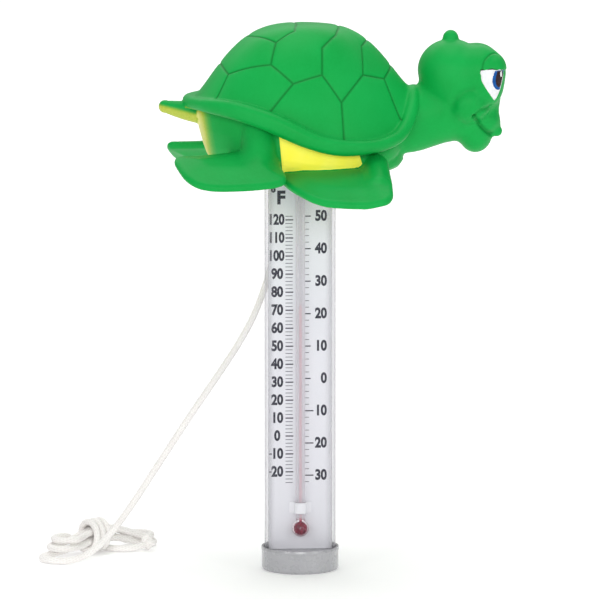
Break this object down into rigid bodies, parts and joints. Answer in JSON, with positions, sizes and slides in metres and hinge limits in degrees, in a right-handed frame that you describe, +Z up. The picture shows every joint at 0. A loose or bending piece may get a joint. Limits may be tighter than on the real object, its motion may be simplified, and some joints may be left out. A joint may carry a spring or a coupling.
{
  "type": "floating pool thermometer",
  "caption": "Upright pool thermometer: a hollow turtle float carries a clear tube with a spirit thermometer on a scale card, a weighted push-on cap and a braided lanyard.",
  "frame": {"origin": "centre of the end cap's flat bottom face, which the object stands on", "axes": "+Z up along the tube, +X towards the turtle's head, the scale faces -Y"},
  "size_m": [0.1954, 0.1285, 0.231],
  "materials": {
    "float_vinyl": "satin soft vinyl",
    "collar_plastic": "moulded gloss",
    "seal_rubber": "smooth rubber",
    "clear_plastic": "clear extruded plastic",
    "plug_plastic": "moulded gloss",
    "card_white": "satin printed card",
    "clip_plastic": "satin white",
    "stem_glass": "clear drawn glass",
    "red_spirit": "dyed liquid",
    "ballast_steel": "turned steel",
    "cap_vinyl": "glossy soft vinyl",
    "cord_white": "braided polyester"
  },
  "bodies": {
    "float": {"turtle_float": "float_vinyl", "float_collar": "collar_plastic", "collar_o_ring": "seal_rubber", "lanyard_knot": "cord_white", "lanyard_cord": "cord_white", "lanyard_hank": "cord_white", "lanyard_end_knot": "cord_white"},
    "tube": {"outer_tube": "clear_plastic", "tube_top_plug": "plug_plastic", "scale_card": "card_white", "upper_stem_clip": "clip_plastic", "lower_stem_clip": "clip_plastic", "glass_stem_and_bulb": "stem_glass", "bulb_spirit": "red_spirit", "ballast_weight": "ballast_steel"},
    "spirit": {"spirit_column": "red_spirit"},
    "cap": {"end_cap": "cap_vinyl"}
  },
  "joints": [
    {"name": "tube_turn", "type": "hinge", "parent": "float", "child": "tube", "pos_m": [0, 0, 0.176], "axis": [0, 0, 1], "continuous": true},
    {"name": "cap_pull", "type": "slide", "parent": "tube", "child": "cap", "axis": [0, 0, -1], "range_m": [0, 0.012]},
    {"name": "spirit_rise", "type": "slide", "parent": "tube", "child": "spirit", "axis": [0, 0, 1], "range_m": [-0.0764, 0.0367], "deforming": ["spirit_column"]}
  ]
}
